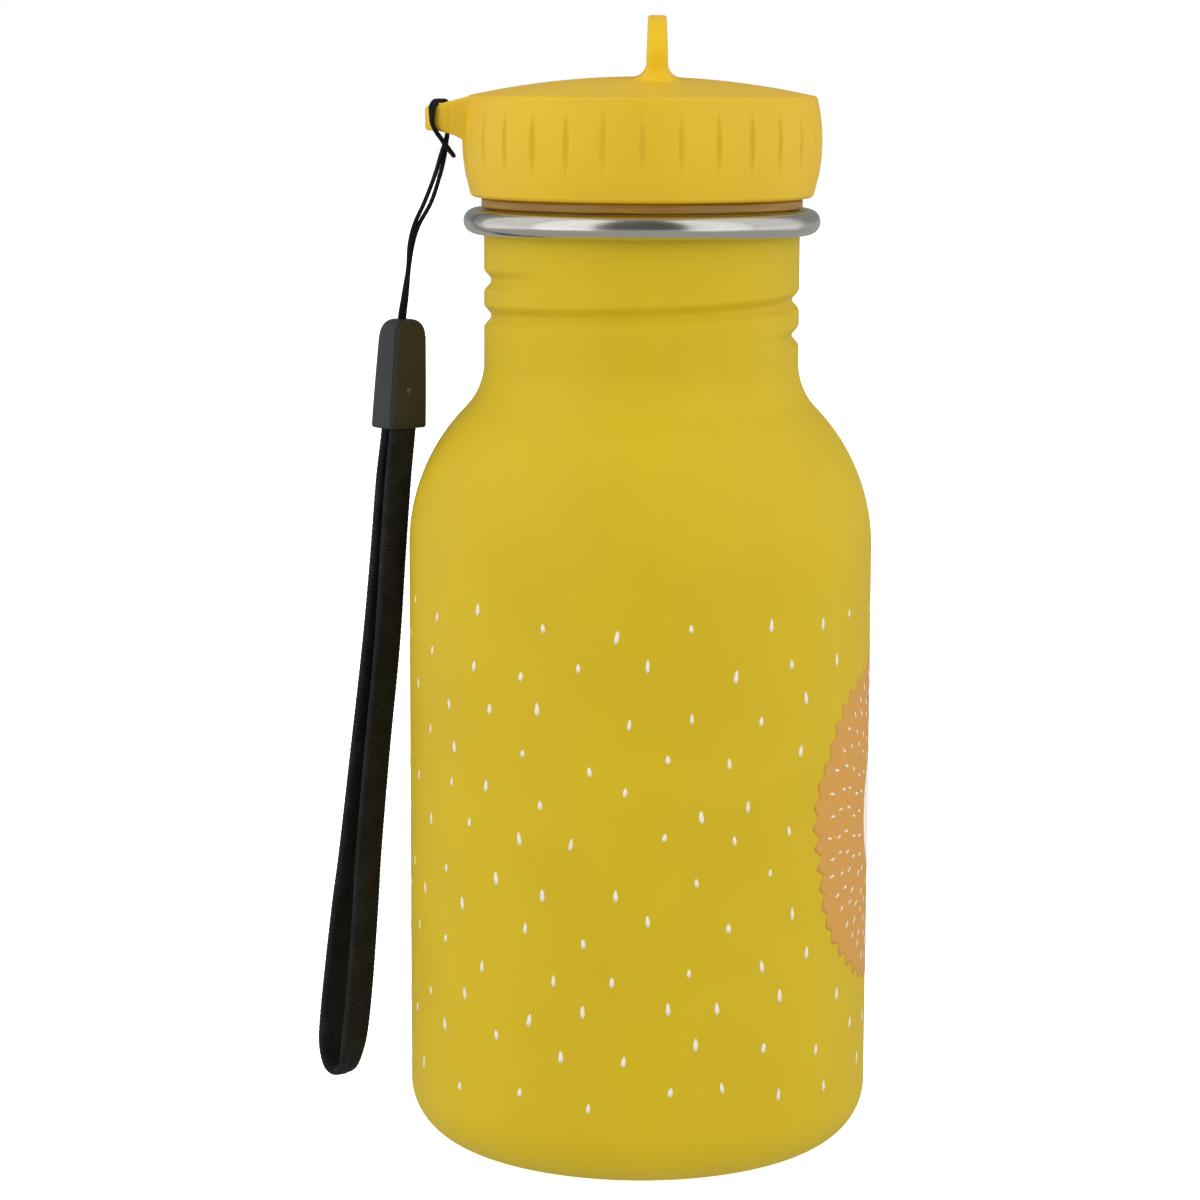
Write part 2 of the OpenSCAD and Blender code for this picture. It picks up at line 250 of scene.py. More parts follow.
def unit(v):
    return v / np.maximum(np.linalg.norm(v, axis=-1, keepdims=True), 1e-12)


def pressed(angle, z, half):
    """Depth of the pressed thread, from 0 to 1, at an angle in radians and a height."""
    depth = np.zeros_like(z)
    for turn in range(-1, math.ceil(THREAD_SWEEP / 360)):
        degrees = np.degrees(angle) % 360 + 360 * turn
        across = (z - THREAD_Z - PITCH * degrees / 360) / half
        wound = degrees + THREAD_LEAD
        fade = np.clip(np.minimum(wound, THREAD_SWEEP - wound) / THREAD_FADE, 0, 1)
        crown = np.where(np.abs(across) < 1, (1 + np.cos(np.pi * across)) / 2, 0)
        depth = np.maximum(depth, crown * fade * fade * (3 - 2 * fade))
    return depth


# ---------------------------------------------------------------- materials
def new_material(name):
    made = bpy.data.materials.new(name)
    made.use_nodes = True
    shader = next(n for n in made.node_tree.nodes if n.type == "BSDF_PRINCIPLED")
    return made, made.node_tree, shader


def add(tree, kind, **inputs):
    """A node with its inputs set by name."""
    node = tree.nodes.new(kind)
    for name, value in inputs.items():
        node.inputs[name.replace("_", " ")].default_value = value
    return node


def noise(tree, size, detail=2.0, stretch=(1, 1, 1)):
    """A noise texture whose patches are about size millimetres, stretched along the object's axes."""
    place = tree.nodes.new("ShaderNodeTexCoord")
    mapping = tree.nodes.new("ShaderNodeMapping")
    mapping.inputs["Scale"].default_value = stretch
    texture = add(tree, "ShaderNodeTexNoise", Scale=1 / (size * MM), Detail=detail)
    tree.links.new(place.outputs["Object"], mapping.inputs["Vector"])
    tree.links.new(mapping.outputs["Vector"], texture.inputs["Vector"])
    return texture


def ramp(tree, source, stops):
    """A colour ramp over a source value. stops are (place, colour)."""
    node = tree.nodes.new("ShaderNodeValToRGB")
    while len(node.color_ramp.elements) < len(stops):
        node.color_ramp.elements.new(0.5)
    for element, (place, colour) in zip(node.color_ramp.elements, stops):
        element.position = place
        element.color = (*colour, 1)
    tree.links.new(source, node.inputs["Fac"])
    return node.outputs["Color"]


def multiplied(tree, a, b):
    """One colour socket times another."""
    node = tree.nodes.new("ShaderNodeMix")
    node.data_type = "RGBA"
    node.blend_type = "MULTIPLY"
    node.inputs[0].default_value = 1
    tree.links.new(a, node.inputs[6])
    tree.links.new(b, node.inputs[7])
    return node.outputs[2]


def flecked(tree, mask, base, fleck):
    """A colour socket with a fixed colour showing through where the mask is."""
    node = tree.nodes.new("ShaderNodeMix")
    node.data_type = "RGBA"
    tree.links.new(mask, node.inputs[0])
    tree.links.new(base, node.inputs[6])
    node.inputs[7].default_value = (*fleck, 1)
    return node.outputs[2]


def grey(low, high):
    return (low,) * 3, (high,) * 3


def bumped(tree, shader, layers):
    """Chains bump nodes. layers are (height socket, strength, distance in mm)."""
    last = None
    for height, strength, distance in layers:
        node = add(tree, "ShaderNodeBump", Strength=strength, Distance=distance * MM)
        tree.links.new(height, node.inputs["Height"])
        if last:
            tree.links.new(last, node.inputs["Normal"])
        last = node.outputs["Normal"]
    tree.links.new(last, shader.inputs["Normal"])


def rough_between(tree, shader, source, low, high):
    """Roughness that varies with a texture."""
    node = tree.nodes.new("ShaderNodeMapRange")
    node.inputs["From Min"].default_value = 0.3
    node.inputs["From Max"].default_value = 0.7
    node.inputs["To Min"].default_value = low
    node.inputs["To Max"].default_value = high
    tree.links.new(source, node.inputs["Value"])
    tree.links.new(node.outputs["Result"], shader.inputs["Roughness"])


def moulded(name, light, dark, rough, grain=0.22, patch=14.0, speck=None, strength=0.25, gloss=0.25):
    """Matt moulded plastic or powder coat: two close tones, fine grain, and roughness that drifts."""
    made, tree, shader = new_material(name)
    drift = noise(tree, patch, 3)
    fine = noise(tree, grain, 2)
    colour = ramp(tree, drift.outputs["Fac"], [(0.35, dark), (0.65, light)])
    if speck:
        dots = noise(tree, 0.9, 0)
        mask = ramp(tree, dots.outputs["Fac"], list(zip((0.885, 0.93), grey(0, 0.7))))
        colour = flecked(tree, mask, colour, speck)
    tree.links.new(colour, shader.inputs["Base Color"])
    shader.inputs["Specular IOR Level"].default_value = gloss
    rough_between(tree, shader, drift.outputs["Fac"], rough - 0.04, rough + 0.04)
    bumped(tree, shader, [(fine.outputs["Fac"], strength, 0.03), (drift.outputs["Fac"], 0.05, 0.1)])
    return made


def brushed(name, colour, rough, stretch):
    """Satin steel with fine marks drawn out along one direction."""
    made, tree, shader = new_material(name)
    marks = noise(tree, 0.5, 3, stretch)
    drift = noise(tree, 9, 2)
    tone = ramp(tree, marks.outputs["Fac"], [(0.3, tuple(0.86 * c for c in colour)), (0.7, colour)])
    tree.links.new(tone, shader.inputs["Base Color"])
    shader.inputs["Metallic"].default_value = 1
    rough_between(tree, shader, drift.outputs["Fac"], rough - 0.05, rough + 0.06)
    bumped(tree, shader, [(marks.outputs["Fac"], 0.12, 0.02)])
    return made


def silicone():
    """Slightly see-through amber silicone with faint layer lines."""
    made, tree, shader = new_material("amber_silicone")
    layers = noise(tree, 0.9, 2, (0.08, 0.08, 3.0))
    colour = ramp(tree, layers.outputs["Fac"], [(0.35, (0.37, 0.185, 0.013)), (0.65, (0.52, 0.28, 0.030))])
    tree.links.new(colour, shader.inputs["Base Color"])
    rough_between(tree, shader, layers.outputs["Fac"], 0.32, 0.42)
    shader.inputs["Subsurface Weight"].default_value = 0.35
    shader.inputs["Subsurface Radius"].default_value = (0.9, 0.5, 0.15)
    shader.inputs["Subsurface Scale"].default_value = 1.5 * MM
    shader.inputs["Transmission Weight"].default_value = 0.12
    bumped(tree, shader, [(layers.outputs["Fac"], 0.2, 0.03)])
    return made


def woven(name, light, dark, braid):
    """Black polyester yarn: a close braid, fibre streaks, paler worn patches, and painted shade in the
    grooves between braid rows with painted highlight on each row's crown. braid is its step in mm.
    """
    made, tree, shader = new_material(name)
    fibre = noise(tree, 0.12, 3, (1, 1, 0.3))
    dust = noise(tree, 3.5, 3)
    place = tree.nodes.new("ShaderNodeTexCoord")
    rows = add(tree, "ShaderNodeTexWave", Scale=0.314 / (braid * MM), Distortion=2.5, Detail=2.0)
    rows.bands_direction = "Z"
    tree.links.new(place.outputs["Object"], rows.inputs["Vector"])
    base = ramp(tree, fibre.outputs["Fac"], [(0.35, dark), (0.7, light)])
    worn = ramp(tree, dust.outputs["Fac"], [(0.45, (0.75,) * 3), (0.7, (1.3,) * 3)])
    # Painted shade and highlight: the braid's grooves are darkened and the tops of its rows lightened, in
    # step with the bump of its rows.
    groove_shade_crown_highlight = ramp(tree, rows.outputs["Fac"], [(0.1, (0.8,) * 3), (0.9, (1.2,) * 3)])
    tree.links.new(multiplied(tree, multiplied(tree, base, worn), groove_shade_crown_highlight), shader.inputs["Base Color"])
    rough_between(tree, shader, fibre.outputs["Fac"], 0.66, 0.84)
    shader.inputs["Specular IOR Level"].default_value = 0.15
    shader.inputs["Sheen Weight"].default_value = 0.06
    shader.inputs["Sheen Roughness"].default_value = 0.4
    bumped(tree, shader, [(rows.outputs["Fac"], 0.4, 0.03), (fibre.outputs["Fac"], 0.6, 0.04)])
    return made


def inked(name, light, dark):
    """Screen-print ink: nearly flat, with thin places."""
    made, tree, shader = new_material(name)
    thin = noise(tree, 0.7, 3)
    colour = ramp(tree, thin.outputs["Fac"], [(0.3, dark), (0.6, light)])
    tree.links.new(colour, shader.inputs["Base Color"])
    rough_between(tree, shader, thin.outputs["Fac"], 0.5, 0.6)
    bumped(tree, shader, [(thin.outputs["Fac"], 0.1, 0.02)])
    return made


PAINT = moulded("mustard_powder_coat", (0.600, 0.428, 0.006), (0.578, 0.408, 0.005), 0.55,
                speck=(0.47, 0.32, 0.006))
CAP_PLASTIC = moulded("yellow_cap_plastic", (0.705, 0.448, 0.008), (0.68, 0.428, 0.007), 0.5, grain=0.16,
                      gloss=0.38)
# The crest is the same moulding as the cap: this brighter copy of the cap's yellow is painted highlight for
# the light that the crest catches.
CREST_LIT_CAP_PLASTIC = moulded("yellow_cap_plastic_painted_highlight", (0.77, 0.49, 0.008), (0.745, 0.47, 0.007), 0.5, grain=0.16)
PLUG_PLASTIC = moulded("yellow_plug_plastic", (0.80, 0.50, 0.02), (0.77, 0.47, 0.016), 0.4, grain=0.3)
SLEEVE_PLASTIC = moulded("black_sleeve_plastic", (0.026, 0.027, 0.033), (0.020, 0.021, 0.026), 0.4,
                         grain=0.2, patch=5, gloss=0.4)
RIM_STEEL = brushed("satin_rim_steel", (0.69, 0.675, 0.635), 0.21, (0.5, 0.5, 6))
INNER_STEEL = brushed("inner_steel", (0.62, 0.61, 0.59), 0.34, (3, 3, 0.4))
BASE_STEEL = brushed("base_steel", (0.66, 0.65, 0.62), 0.36, (0.4, 3, 1))
MARK_PLASTIC = moulded("worn_gate_plastic", (0.30, 0.30, 0.32), (0.12, 0.12, 0.13), 0.4,
                       grain=0.1, patch=0.3)
CRIMP_STEEL = brushed("crimp_steel", (0.6, 0.6, 0.58), 0.3, (1, 1, 4))
SILICONE = silicone()
WEBBING = woven("black_webbing", (0.022, 0.0225, 0.026), (0.007, 0.0072, 0.0085), braid=0.55)
CORD = woven("black_cord", (0.012, 0.012, 0.0135), (0.004, 0.004, 0.0045), braid=0.4)
WHITE_INK = inked("white_ink", (0.86, 0.80, 0.66), (0.80, 0.73, 0.57))
ORANGE_INK = inked("orange_ink", (0.63, 0.305, 0.045), (0.58, 0.275, 0.038))
CREAM_INK = inked("cream_ink", (0.88, 0.85, 0.78), (0.84, 0.80, 0.72))


def dress(piece, body, slot, *materials, stands_for=()):
    """Gives a piece its materials and its body, and hides the CAD nodes that it stands for. slot is not used.
    """
    for made in materials:
        piece.data.materials.append(made)
    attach(piece, body)
    if stands_for:
        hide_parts(*stands_for)
    return piece


# ---------------------------------------------------------------- bottle
NECK_FILLET = (((BODY_R - NECK_R) ** 2 + (NECK_Z - SHOULDER_Z) ** 2) / (2 * (BODY_R - NECK_R))) - SHOULDER_R
SHOULDER_TURN = math.degrees(math.atan2(NECK_Z - SHOULDER_Z, NECK_R + NECK_FILLET - BODY_R + SHOULDER_R))
FOOT_R = BODY_R - BASE_R
BORE_R = NECK_R - WALL


def wall_side(inward, arc_steps, row):
    """The wall's outline at an offset inward, from the foot to the mouth, with the neck in rows."""
    neck = [(NECK_R - inward, NECK_Z), (NECK_R - inward, RIM_Z)]
    return (arc((FOOT_R, BASE_R), BASE_R - inward, -90, 0, arc_steps)
            + line((BODY_R - inward, BASE_R), (BODY_R - inward, SHOULDER_Z), 12)
            + arc((BODY_R - SHOULDER_R, SHOULDER_Z), SHOULDER_R - inward, 0, SHOULDER_TURN, 2 * arc_steps)
            + arc((NECK_R + NECK_FILLET, NECK_Z), NECK_FILLET + inward,
                  180 + SHOULDER_TURN, 180, arc_steps)[1:]
            + line(*neck, round((RIM_Z - NECK_Z) / row)) + [neck[1]])


def bottle_body():
    """The drawn sheet: painted outside, bare inside, with the thread pressed through it at the neck."""
    outer = wall_side(0, 20, 0.22)
    inner = wall_side(WALL, 12, 0.35)

    def with_thread(r, z, angle):
        half = np.where(np.arange(len(r))[:, None] < len(outer), THREAD_HALF, THREAD_HALF + WALL / 2)
        return r - THREAD_DEPTH * pressed(angle, z, half) * (z > NECK_Z)

    columns = 224
    body = turned("bottle_body", outer + inner[::-1], even_angles(columns), with_thread)
    dress(body, "bottle", "body_paint", PAINT, INNER_STEEL, stands_for=("bottle_shell", "threaded_neck"))
    for face in body.data.polygons:
        x, y, z = (c / MM for c in face.center)
        skin = NECK_R - THREAD_DEPTH * float(pressed(np.array(math.atan2(y, x)), np.array(z), THREAD_HALF))
        if z <= NECK_Z:
            skin = side_radius(z)
        face.material_index = int(math.hypot(x, y) < skin - WALL / 2 and z > WALL / 2)
    return body


def side_radius(z):
    """Outer radius of the body at a height below the neck."""
    if z < BASE_R:
        return FOOT_R + math.sqrt(max(0.0, BASE_R ** 2 - (BASE_R - z) ** 2))
    if z < SHOULDER_Z:
        return BODY_R
    rise = z - SHOULDER_Z
    if rise < SHOULDER_R * math.sin(math.radians(SHOULDER_TURN)):
        return BODY_R - SHOULDER_R + math.sqrt(SHOULDER_R ** 2 - rise ** 2)
    return NECK_R + NECK_FILLET - math.sqrt(max(0.0, NECK_FILLET ** 2 - (NECK_Z - z) ** 2))


def base_plate():
    """The pressed disc in the foot, with a ring to stand on and a raised middle."""
    foot_in = FOOT_R - 1.6
    recess = RECESS_TOP - WALL
    recess_r = foot_in - recess
    low = [(0, recess), (6, recess), (6.8, recess - 0.3),
           (recess_r - 3, recess - 0.3), (recess_r, recess - 0.3),
           (foot_in, 0), (FOOT_R, 0), (FOOT_R, WALL),
           (foot_in + 0.2, WALL), (recess_r + 0.2, recess + WALL - 0.3),
           (6.8, recess + WALL - 0.3), (6, recess + WALL), (0, recess + WALL)]
    outline = [low[0]] + eased(low, 0.7, 5)[6:-6] + [low[-1]]
    return dress(turned("base_plate", outline, even_angles(160)), "bottle", "bare_steel", BASE_STEEL,
                 stands_for=("base_disc",))


def rim_bead():
    """The rolled edge: a round roll with the curl's seam under it."""
    half = (RIM_HIGH - RIM_LOW) / 2
    wide = half
    centre = RIM_R - wide
    z = RIM_LOW + half

    def oval(start, end, steps):
        return [(centre + wide * x, z + half * y) for x, y in arc((0, 0), 1, start, end, steps)]

    inside = math.degrees(math.acos((centre - BORE_R) / wide))
    outside = math.degrees(math.acos((centre - NECK_R) / wide))
    curl = oval(180 + outside + 6, 180 + outside + 26, 3)
    outline = (oval(0, 180 - inside, 30) + [(BORE_R, z), (NECK_R - 0.2, z), (NECK_R - 0.1, curl[0][1] + 0.5)]
               + [(NECK_R + 0.25, curl[0][1] + 0.25)] + curl + oval(180 + outside + 30, 355, 18))
    return dress(turned("rim_bead", outline, even_angles(224)), "bottle", "bare_steel", RIM_STEEL,
                 stands_for=("rolled_rim",))


def seal():
    """The silicone ring: a bulging edge with two shallow moulded steps, down on the rim."""
    low, high = RIM_HIGH + 0.03, CAP_LOW - 0.05
    bulge = (high - low) / 2
    outline = [(SEAL_IN, low)]
    for i in range(21):
        a = math.pi * (i / 20 - 0.5)
        full = max(0.0, math.cos(a)) ** 0.22
        out = (bulge - 0.04 * math.cos(3 * a) ** 2) * full
        outline.append((SEAL_R - bulge + out, low + bulge + bulge * math.sin(a)))
    outline.append((SEAL_IN, high))
    return dress(turned("seal", outline, even_angles(192)), "seal", "seal_silicone", SILICONE,
                 stands_for=("seal_ring",))


# ---------------------------------------------------------------- cap
BARREL_R = 25.0
BARREL_Z = 143.2
FLUTES = 30
FLUTE_R = 0.32
FLUTE_DEPTH = 0.4
EDGE_ROUND = 0.8


def dome(x, y):
    """Height of the cap's dome over a place in plan."""
    brow_r, brow_z = dome_edge()
    rise = DOME_Z - brow_z
    big = (brow_r ** 2 + rise ** 2) / (2 * rise)
    return DOME_Z - big + np.sqrt(np.maximum(0, big * big - x * x - y * y))


def dome_edge():
    high = math.asin((CAP_EDGE_Z - BARREL_Z) / BARREL_R)
    return CAP_R - BARREL_R + BARREL_R * math.cos(high) - EDGE_ROUND, CAP_EDGE_Z + EDGE_ROUND * 0.8


def flute_angles():
    """Angles round the cap, crowded where the flutes are cut."""
    angles = []
    pitch = TAU / FLUTES
    for i in range(FLUTES):
        middle = math.pi / 2 + i * pitch
        for k in range(22):
            t = k / 22 * 2 - 1
            angles.append(middle + pitch / 2 * (0.28 * t + 0.72 * t ** 3))
    return angles


def cap_shell():
    """The cover: a barrel side with grip flutes, a rounded brow and a shallow dome, hollow below."""
    low = math.degrees(math.asin((CAP_LOW + EDGE_ROUND - BARREL_Z) / BARREL_R))
    high = math.degrees(math.asin((CAP_EDGE_Z - BARREL_Z) / BARREL_R))
    side = arc((CAP_R - BARREL_R, BARREL_Z), BARREL_R, low, high, 44)
    brow_r = dome_edge()[0]
    brow = [(brow_r + EDGE_ROUND * math.cos(a), CAP_EDGE_Z + 0.8 * EDGE_ROUND * math.sin(a))
            for a in (math.radians(10 * i) for i in range(1, 9))]
    top = [(r, float(dome(r, 0))) for r in np.linspace(brow_r - 0.3, 0, 34)]
    outline = ([(CAVITY_R, CAP_LOW + 0.3), (CAVITY_R + 0.3, CAP_LOW)]
               + arc((side[0][0] - EDGE_ROUND, CAP_LOW + EDGE_ROUND), EDGE_ROUND, -90, 0, 6) + side[1:]
               + brow + top
               + [(0, DOME_Z - 2.2), (CAVITY_R - 1, CAP_EDGE_Z - 1.4), (CAVITY_R, CAP_EDGE_Z - 2.4)])

    def with_flutes(r, z, angle):
        pitch = TAU / FLUTES
        off = (angle - math.pi / 2 + pitch / 2) % pitch - pitch / 2
        floor = CAP_R - FLUTE_DEPTH + (off * CAP_R) ** 2 / (2 * FLUTE_R)
        cut = np.minimum(r, floor) - 0.03 * np.log1p(np.exp(-np.abs(r - floor) / 0.03))
        by_lug = np.abs(angle % TAU - math.pi) < 1.3 * pitch
        on_side = (z > CAP_LOW + 0.5) & (z < CAP_EDGE_Z + 0.3) & (r > CAP_R - 1.5)
        return np.where(on_side & ~by_lug, cut, r)

    shell = turned("cap_shell", outline, flute_angles(), with_flutes)
    return dress(shell, "cap", "cap_plastic", CAP_PLASTIC, stands_for=("cap_cover",))


def rounded_rectangle(half_x, half_y, corner, per_corner=6, per_side=4):
    """Points round a rectangle with round corners, counter-clockwise from the +X side."""
    corner = min(corner, half_x * 0.98, half_y * 0.98)
    points = []
    for qx, qy, start in ((1, 1, 0), (-1, 1, 90), (-1, -1, 180), (1, -1, 270)):
        points += arc((qx * (half_x - corner), qy * (half_y - corner)), corner, start, start + 90, per_corner)
    out = []
    for i, p in enumerate(points):
        out.append(p)
        if i % (per_corner + 1) == per_corner:
            out += line(p, points[(i + 1) % len(points)], per_side)
    return out


def lofted(name, rings, cap_ends=True, smooth=True):
    """A skin over rings that all have the same number of points."""
    points = [p for ring in rings for p in ring]
    n = len(rings[0])
    faces = grid_faces(len(rings), n)
    if cap_ends:
        faces += [tuple(range(n)), tuple(range(len(points) - n, len(points)))]
    return mesh_object(name, points, faces, smooth)


def cap_crest():
    """A plain rounded crest that flows out of the dome in a small fillet."""
    fillet, half_w, crown = 2.0, 10.0, 6.2
    thick_low, thick_high, round_edge = 1.5, 1.3, 0.45
    shoulder = CREST_TOP - crown
    rings = []

    def ring(grow, half_x, half_y, height, follow, corner):
        points = []
        for x, y in rounded_rectangle(half_x + grow, half_y + grow, corner + grow, 6, 10):
            x += CREST_X
            on_dome = float(dome(x, y)) + height
            points.append((x, y, on_dome if follow is None else on_dome * (1 - follow) + height * follow))
        return points

    rings.append(ring(fillet, thick_low, half_w, -0.4, None, 0.9))
    for i in range(11):
        a = math.radians(9 * i)
        rings.append(ring(fillet * (1 - math.sin(a)), thick_low, half_w,
                          fillet * (1 - math.cos(a)) - 0.02, None, 0.9))
    base = float(dome(CREST_X, 0)) + fillet
    for i in range(1, 22):
        a = math.radians(90 * i / 21.5)
        z = max(shoulder, base + 0.2) + (CREST_TOP - max(shoulder, base + 0.2)) * math.sin(a)
        half_y = half_w * math.cos(a) ** 0.9
        share = (z - base) / (CREST_TOP - base)
        left = CREST_TOP - z
        edge = round_edge - math.sqrt(max(0, round_edge ** 2 - max(0, round_edge - left) ** 2))
        half_x = thick_low + (thick_high - thick_low) * share - edge
        points = rounded_rectangle(half_x, max(half_y, 0.15), 0.9, 6, 10)
        rings.append([(x + CREST_X, y, z) for x, y in points])
    # The crest wears the brighter copy of the cap's yellow, which is painted highlight.
    return dress(lofted("cap_crest", rings), "cap", "cap_plastic", CREST_LIT_CAP_PLASTIC)


def cap_lug():
    """The strap lug: a flat eye that widens and thickens into the side of the cap."""
    root_x = CAP_R - 3.5
    edge = 0.45

    def reach(angle):
        """Distance from the hole's axis to the lug's outline at an angle, 0 along -X."""
        if abs(angle) < math.pi / 2 + 0.2:
            return LUG_R
        length = LUG_X - root_x
        aside = abs(math.sin(angle))
        ahead = -math.cos(angle)
        low, high = 0.0, 20.0
        for _ in range(40):
            mid = (low + high) / 2
            x, y = ahead * mid, aside * mid
            share = min(1, max(0, x / length))
            half = LUG_R + 0.05 * share + 2.6 * share ** 3
            if x < length and y < (half if x > 0 else LUG_R):
                low = mid
            else:
                high = mid
        return low

    def top(x):
        return float(np.interp(x, [-31.4, -29.0, -27.4, -24.5, -21], [147.8, 148.2, 148.6, 149.35, 149.7]))

    def bottom(x):
        return float(np.interp(x, [-31.4, -28.6, -26.4, -25, -24.2, -21],
                               [144.6, 144.6, 144.0, 143.3, 142.6, 141]))

    angles = even_angles(96)
    section = rounded_rectangle(1, 1, 0.3, 6, 8)
    rings = []
    for u, v in section:
        ring = []
        for a in angles:
            turn = a if a <= math.pi else a - TAU
            out = max(reach(turn), LUG_HOLE_R + 0.8)
            half = (out - LUG_HOLE_R) / 2
            corner = min(edge / half, 0.9)
            r = LUG_HOLE_R + half + half * soften(u, 0.3, corner)
            x = -LUG_X - r * math.cos(a)
            y = -r * math.sin(a)
            high, low = top(x), bottom(x)
            ring.append((x, y, (high + low) / 2 + (high - low) / 2 * soften(v, 0.3, 2 * edge / (high - low))))
        rings.append(ring)
    points = [p for ring in rings for p in ring]
    lug = mesh_object("cap_lug", points, grid_faces(len(rings), len(angles), wrap_rows=True))
    return dress(lug, "cap", "cap_plastic", CAP_PLASTIC)


def soften(value, old, new):
    """Rescales one coordinate of a unit square, so that its corners are rounded to new instead of old."""
    size = abs(value)
    if size <= 1 - old:
        moved = size / (1 - old) * (1 - new)
    else:
        moved = 1 - (1 - size) / old * new
    return math.copysign(moved, value)


def cap_plug():
    """The hollow plug under the cover, with its thread half a pitch below the neck's."""
    flange = CAP_LOW + 2
    inner = PLUG_R - 1.6
    rows = line((PLUG_R, PLUG_LOW + 0.8), (PLUG_R, CAP_LOW), 88)
    outline = ([(0, PLUG_LOW)] + [(PLUG_R * t, PLUG_LOW) for t in (0.3, 0.6, 0.9)]
               + arc((PLUG_R - 0.8, PLUG_LOW + 0.8), 0.8, -80, 0, 6) + rows
               + [(PLUG_R, CAP_LOW), (CAVITY_R, CAP_LOW), (CAVITY_R, flange), (inner, flange),
                  (inner, PLUG_LOW + 1.6), (0, PLUG_LOW + 1.6)])

    def with_thread(r, z, angle):
        depth = np.zeros_like(z)
        for turn in range(2):
            degrees = np.degrees(angle) % 360 + 360 * turn
            across = np.abs(z - THREAD_Z + PITCH / 2 - PITCH * degrees / 360)
            fade = np.clip(np.minimum(degrees, 540 - degrees) / 25, 0, 1)
            depth = np.maximum(depth, np.clip((1.4 - across) / 0.8, 0, 1) * fade)
        return r + np.where(np.abs(r - PLUG_R) < 1e-6, (BORE_R - 0.55 - PLUG_R) * depth, 0)

    plug = turned("cap_plug", outline, even_angles(160), with_thread)
    return dress(plug, "cap", "plug_plastic", PLUG_PLASTIC, stands_for=("threaded_plug",))


# ---------------------------------------------------------------- print on the body
INK = 0.035
SUN_Z = 47.7
SUN_R = 24.5


def on_body(arc_length, z, lift):
    """A place on the straight body: arc length round from +X, and height."""
    angle = arc_length / BODY_R
    return ((BODY_R + lift) * math.cos(angle), (BODY_R + lift) * math.sin(angle), z)


def ink_patches(name, patches, lift, ink):
    """Thin closed patches that hug the body, with their undersides buried in it.

    Each is rings of (arc length, z) round a middle, innermost first.
    """
    buried = -0.08
    points, faces = [], []
    for middle, rings in patches:
        n = len(rings[0])
        for height in (lift, buried):
            start = len(points)
            points.append(on_body(*middle, height))
            points += [on_body(*p, height) for ring in rings for p in ring]
            for j in range(n):
                k = (j + 1) % n
                faces.append((start, start + 1 + j, start + 1 + k))
                for i in range(len(rings) - 1):
                    a = start + 1 + i * n
                    faces.append((a + j, a + n + j, a + n + k, a + k))
        top = len(points) - 2 * (1 + n * len(rings))
        outer = 1 + n * (len(rings) - 1)
        low = top + 1 + n * len(rings)
        for j in range(n):
            k = (j + 1) % n
            faces.append((top + outer + j, low + outer + j, low + outer + k, top + outer + k))
    piece = mesh_object(name, points, faces)
    return dress(piece, "bottle", "body_paint", ink)


def rice(arc_length, z, long, wide, tilt):
    """A rice-grain dash: a slim rounded lozenge, a little fatter at its foot."""
    ring = []
    for i in range(12):
        a = TAU * i / 12
        up = long / 2 * math.sin(a)
        aside = wide / 2 * math.cos(a) * (1 - 0.25 * math.sin(a))
        ring.append((arc_length + aside * math.cos(tilt) - up * math.sin(tilt),
                     z + aside * math.sin(tilt) + up * math.cos(tilt)))
    return (arc_length, z), [ring]


def sun_edge(a):
    """The sun's jagged radius at an angle: short uneven rays."""
    teeth = 52
    place = a / TAU * teeth
    part = place % 1
    size = 0.75 + 0.5 * math.sin(12.9898 * math.floor(place)) ** 2
    wave = 0.5 * math.sin(5 * a + 1) + 0.35 * math.sin(9 * a)
    return SUN_R - 0.8 + wave + 1.25 * size * (1 - abs(2 * part - 0.9))


def printed_front():
    """A generic sun on the front: a jagged disc with strokes round a plain oval."""
    steps = 416
    rings = [[(sun_edge(TAU * j / steps) * t * math.cos(TAU * j / steps),
               SUN_Z + sun_edge(TAU * j / steps) * t * math.sin(TAU * j / steps)) for j in range(steps)]
             for t in np.linspace(0.03, 1, 34)]
    ink_patches("print_sun", [((0, SUN_Z), rings)], INK, ORANGE_INK)
    oval = [[(8.2 * t * math.cos(TAU * j / 72), SUN_Z + 0.6 + 9.2 * t * math.sin(TAU * j / 72))
             for j in range(72)]
            for t in np.linspace(0.08, 1, 13)]
    ink_patches("print_sun_middle", [((0, SUN_Z + 0.6), oval)], INK * 2, CREAM_INK)
    strokes = []
    rng = random.Random(7)
    for row, r in enumerate((11.2, 13.6, 16, 18.4, 20.8)):
        count = round(TAU * r / 3.0)
        for i in range(count):
            a = TAU * (i + 0.5 * (row % 2) + rng.uniform(-0.18, 0.18)) / count
            d = r + rng.uniform(-0.5, 0.5)
            strokes.append(rice(d * math.cos(a), SUN_Z + d * math.sin(a) * 1.02, rng.uniform(0.9, 1.3),
                                0.36, a - math.pi / 2 + rng.uniform(-0.2, 0.2)))
    ink_patches("print_sun_strokes", strokes, INK * 2, WHITE_INK)


def printed_dashes():
    """White rice-grain dashes scattered over the middle of the body, clear of the sun."""
    rng = random.Random(11)
    dashes = []
    row_gap, gap = 5.9, 9.8
    rows = round((78.5 - 13) / row_gap)
    columns = round(TAU * BODY_R / gap)
    for i in range(rows + 1):
        for j in range(columns):
            s = TAU * BODY_R * (j + 0.5 * (i % 2)) / columns + rng.uniform(-2.2, 2.2)
            z = 13.5 + row_gap * i + rng.uniform(-1.8, 1.8)
            long, wide = rng.uniform(1.05, 1.95), rng.uniform(0.54, 0.72)
            tilt = math.radians(rng.uniform(-11, 11))
            s = (s + math.pi * BODY_R) % (TAU * BODY_R) - math.pi * BODY_R
            if math.hypot(s, z - SUN_Z) > SUN_R + 3.0:
                dashes.append(rice(s, z, long, wide, tilt))
    ink_patches("print_dashes", dashes, INK, WHITE_INK)


